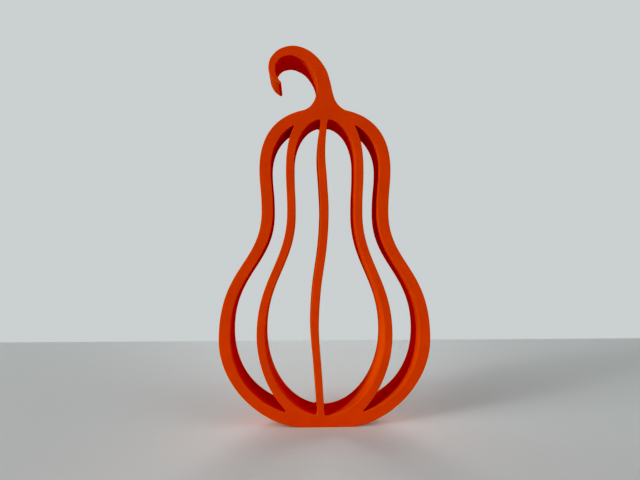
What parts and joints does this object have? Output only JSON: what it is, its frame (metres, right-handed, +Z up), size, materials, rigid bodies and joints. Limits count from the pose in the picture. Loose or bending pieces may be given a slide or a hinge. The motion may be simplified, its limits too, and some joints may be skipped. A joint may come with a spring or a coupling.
{
  "type": "squash silhouette ornament",
  "caption": "Openwork orange plastic ornament in the outline of a butternut squash, with curved ribs, a hooked stem and a small flat foot that it stands on.",
  "frame": {"origin": "on the surface it stands on, below the middle of its width and halfway through its depth", "axes": "+Z up, +X to the right of the front face, -Y out of the front face"},
  "size_m": [0.0996, 0.02, 0.18],
  "materials": {
    "orange_plastic": "satin, as printed, with fine layer lines on the walls"
  },
  "bodies": {
    "root": {"squash_silhouette": "orange_plastic"}
  },
  "joints": []
}
